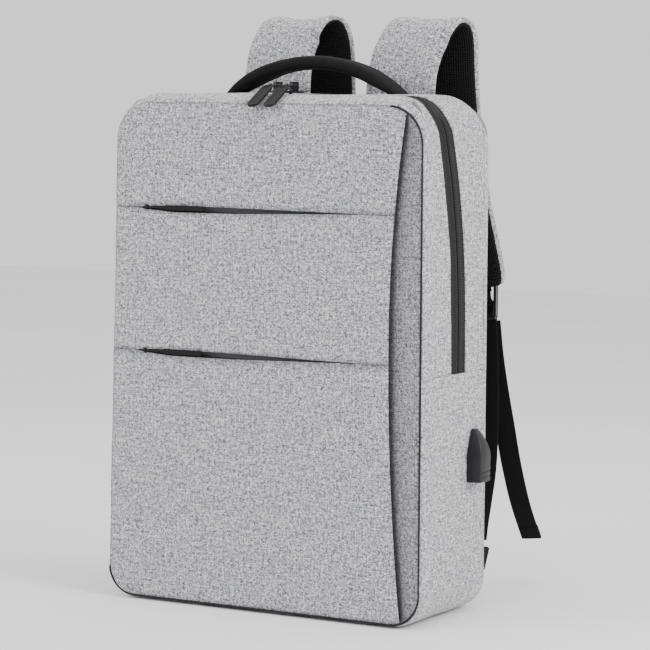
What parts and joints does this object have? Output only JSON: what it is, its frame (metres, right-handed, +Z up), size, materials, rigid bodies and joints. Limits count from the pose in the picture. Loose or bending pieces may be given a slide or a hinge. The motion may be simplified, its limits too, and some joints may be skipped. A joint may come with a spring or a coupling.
{
  "type": "laptop backpack",
  "caption": "Slim upright laptop backpack in grey melange fabric with two slit pockets, a side USB port, an arched carry handle and padded shoulder straps.",
  "frame": {"origin": "middle of the flat base", "axes": "+Z up, +Y towards the wearer's back, +X to the side with the USB port"},
  "size_m": [0.3197, 0.2911, 0.5141],
  "materials": {
    "heather_fabric": "light grey melange woven polyester",
    "piping": "dark corded seam",
    "lining": "smooth woven lining",
    "zipper_tape": "fine black ribbed tape",
    "zipper_coil": "black nylon coil",
    "board": "thin stiffener board",
    "air_mesh": "black air mesh",
    "webbing": "black ribbed webbing",
    "port_plastic": "satin charcoal moulding",
    "steel": "nickel-plated steel",
    "black_plastic": "moulded black",
    "gunmetal": "glossy black plating",
    "tab_rubber": "soft black moulding with a raised rim",
    "pull_cord": "grey cord and woven tab"
  },
  "bodies": {
    "bag": {"back_panel": "heather_fabric", "rear_gusset": "heather_fabric", "side_panel_left": "heather_fabric", "side_panel_right": "heather_fabric", "bottom_panel": "heather_fabric", "front_gusset_lower": "heather_fabric", "front_base_lower": "heather_fabric", "pleat_strip_lower": "heather_fabric", "overlay_lower": "heather_fabric", "slot_facing": "heather_fabric", "piping_lower": "piping", "pocket_bag_lower": "lining", "pocket_tapes_lower": "zipper_tape", "zipper_tape_rear": "zipper_tape", "zipper_coil_rear": "zipper_coil", "main_lining": "lining", "bottom_board": "board", "laptop_sleeve": "lining", "power_bank_pocket": "lining", "back_pads": "air_mesh", "strap_roots": "heather_fabric", "handle_anchors": "webbing", "lower_anchor_tabs": "webbing", "usb_housing": "port_plastic", "usb_socket": "steel", "usb_tongue": "black_plastic", "usb_backing_plate": "black_plastic"},
    "front_flap": {"front_gusset_upper": "heather_fabric", "front_base_upper": "heather_fabric", "pleat_strip_upper": "heather_fabric", "overlay_middle": "heather_fabric", "overlay_upper": "heather_fabric", "piping_upper": "piping", "pocket_bag_upper": "lining", "pocket_tapes_upper": "zipper_tape", "zipper_tape_front": "zipper_tape", "zipper_coil_front": "zipper_coil", "flap_lining": "lining"},
    "zip_slider_left": {"slider_left": "gunmetal"},
    "zip_slider_right": {"slider_right": "gunmetal"},
    "zip_ring_left": {"pull_ring_left": "gunmetal"},
    "zip_ring_right": {"pull_ring_right": "gunmetal"},
    "zip_tab_left": {"pull_tab_left": "tab_rubber"},
    "zip_tab_right": {"pull_tab_right": "tab_rubber"},
    "upper_pocket_slider": {"pocket_slider_upper": "gunmetal"},
    "upper_pocket_pull": {"pocket_pull_upper": "pull_cord"},
    "lower_pocket_slider": {"pocket_slider_lower": "gunmetal"},
    "lower_pocket_pull": {"pocket_pull_lower": "pull_cord"},
    "carry_handle": {"handle_grip": "webbing"},
    "strap_left": {"strap_pad_left": "heather_fabric", "strap_mesh_left": "air_mesh", "buckle_left": "black_plastic", "strap_webbing_left": "webbing"},
    "strap_right": {"strap_pad_right": "heather_fabric", "strap_mesh_right": "air_mesh", "buckle_right": "black_plastic", "strap_webbing_right": "webbing"},
    "tail_left": {"webbing_tail_left": "webbing"},
    "tail_right": {"webbing_tail_right": "webbing"}
  },
  "joints": [
    {"name": "flap_fold", "type": "hinge", "parent": "bag", "child": "front_flap", "pos_m": [0, -0.0705, 0.232], "axis": [1, 0, 0], "range_deg": [0, 50]},
    {"name": "zip_slider_left_travel", "type": "slide", "parent": "front_flap", "child": "zip_slider_left", "axis": [-1, 0, 0], "range_m": [0, 0.098]},
    {"name": "zip_ring_left_lift", "type": "hinge", "parent": "zip_slider_left", "child": "zip_ring_left", "pos_m": [-0.008, -0.038, 0.4482], "axis": [-1, 0, 0], "range_deg": [0, 100]},
    {"name": "zip_tab_left_lift", "type": "hinge", "parent": "zip_ring_left", "child": "zip_tab_left", "pos_m": [-0.008, -0.04997, 0.44736], "axis": [-1, 0, 0], "range_deg": [0, 110]},
    {"name": "zip_slider_right_travel", "type": "slide", "parent": "front_flap", "child": "zip_slider_right", "axis": [1, 0, 0], "range_m": [0, 0.098]},
    {"name": "zip_ring_right_lift", "type": "hinge", "parent": "zip_slider_right", "child": "zip_ring_right", "pos_m": [0.008, -0.038, 0.4482], "axis": [-1, 0, 0], "range_deg": [0, 100]},
    {"name": "zip_tab_right_lift", "type": "hinge", "parent": "zip_ring_right", "child": "zip_tab_right", "pos_m": [0.008, -0.04997, 0.44736], "axis": [-1, 0, 0], "range_deg": [0, 110]},
    {"name": "upper_pocket_slider_travel", "type": "slide", "parent": "front_flap", "child": "upper_pocket_slider", "axis": [1, 0, 0], "range_m": [0, 0.19]},
    {"name": "upper_pocket_pull_swing", "type": "hinge", "parent": "upper_pocket_slider", "child": "upper_pocket_pull", "pos_m": [-0.116, -0.0718, 0.342], "axis": [0, 0, -1], "range_deg": [0, 120]},
    {"name": "lower_pocket_slider_travel", "type": "slide", "parent": "bag", "child": "lower_pocket_slider", "axis": [1, 0, 0], "range_m": [0, 0.19]},
    {"name": "lower_pocket_pull_swing", "type": "hinge", "parent": "lower_pocket_slider", "child": "lower_pocket_pull", "pos_m": [-0.116, -0.0718, 0.218], "axis": [0, 0, -1], "range_deg": [0, 120]},
    {"name": "handle_tilt", "type": "hinge", "parent": "bag", "child": "carry_handle", "pos_m": [0, 0.015, 0.447], "axis": [1, 0, 0], "range_deg": [-30, 30], "stiffness_Nm_per_rad": 0.6},
    {"name": "strap_left_swing", "type": "hinge", "parent": "bag", "child": "strap_left", "pos_m": [-0.06, 0.058, 0.447], "axis": [0.1794, -0.0598, 0.9819], "range_deg": [-20, 20], "stiffness_Nm_per_rad": 1.5},
    {"name": "tail_left_swing", "type": "hinge", "parent": "strap_left", "child": "tail_left", "pos_m": [-0.095, 0.159, 0.243], "axis": [1, 0, 0], "range_deg": [0, 60]},
    {"name": "strap_right_swing", "type": "hinge", "parent": "bag", "child": "strap_right", "pos_m": [0.062, 0.058, 0.447], "axis": [-0.1746, -0.0599, 0.9828], "range_deg": [-20, 20], "stiffness_Nm_per_rad": 1.5},
    {"name": "tail_right_swing", "type": "hinge", "parent": "strap_right", "child": "tail_right", "pos_m": [0.106, 0.159, 0.243], "axis": [1, 0, 0], "range_deg": [0, 60]}
  ]
}
